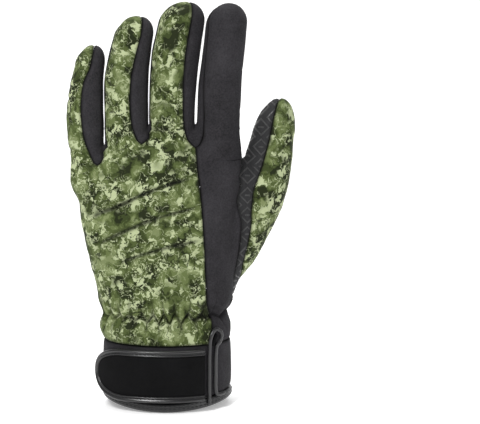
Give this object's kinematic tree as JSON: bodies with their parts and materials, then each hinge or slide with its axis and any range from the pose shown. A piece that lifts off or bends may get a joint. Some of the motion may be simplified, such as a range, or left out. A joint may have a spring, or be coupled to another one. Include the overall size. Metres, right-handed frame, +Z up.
{
  "type": "fishing glove",
  "caption": "Left-hand fishing glove as worn: camouflage cloth back, grip-printed black palm, neoprene index strip and gussets, gathered wrist, neoprene cuff with rounded closing strap.",
  "frame": {"origin": "Middle of the cuff's mouth, level with the lowest point of its rim", "axes": "+Z runs up the fingers, -Y is the back of the hand, +X is the thumb side"},
  "size_m": [0.1469, 0.0655, 0.261],
  "materials": {
    "camouflage_cloth": "matte stretch cloth, woodland camouflage in greens",
    "printed_palm": "matte black cloth with raised glossy grip lines",
    "neoprene": "matte charcoal foam rubber with a fine knit face",
    "trim": "matte black tape and strap cloth"
  },
  "bodies": {
    "root": {"back_panel": "camouflage_cloth", "index_strip": "neoprene", "gusset_little_ring": "neoprene", "gusset_ring_middle": "neoprene", "gusset_middle_index": "neoprene", "palm_panel": "printed_palm", "thumb_back": "camouflage_cloth", "thumb_palm": "printed_palm", "cuff_band": "neoprene", "cuff_hem": "trim", "strap": "trim", "strap_binding": "trim", "slit_binding": "trim"}
  },
  "joints": []
}
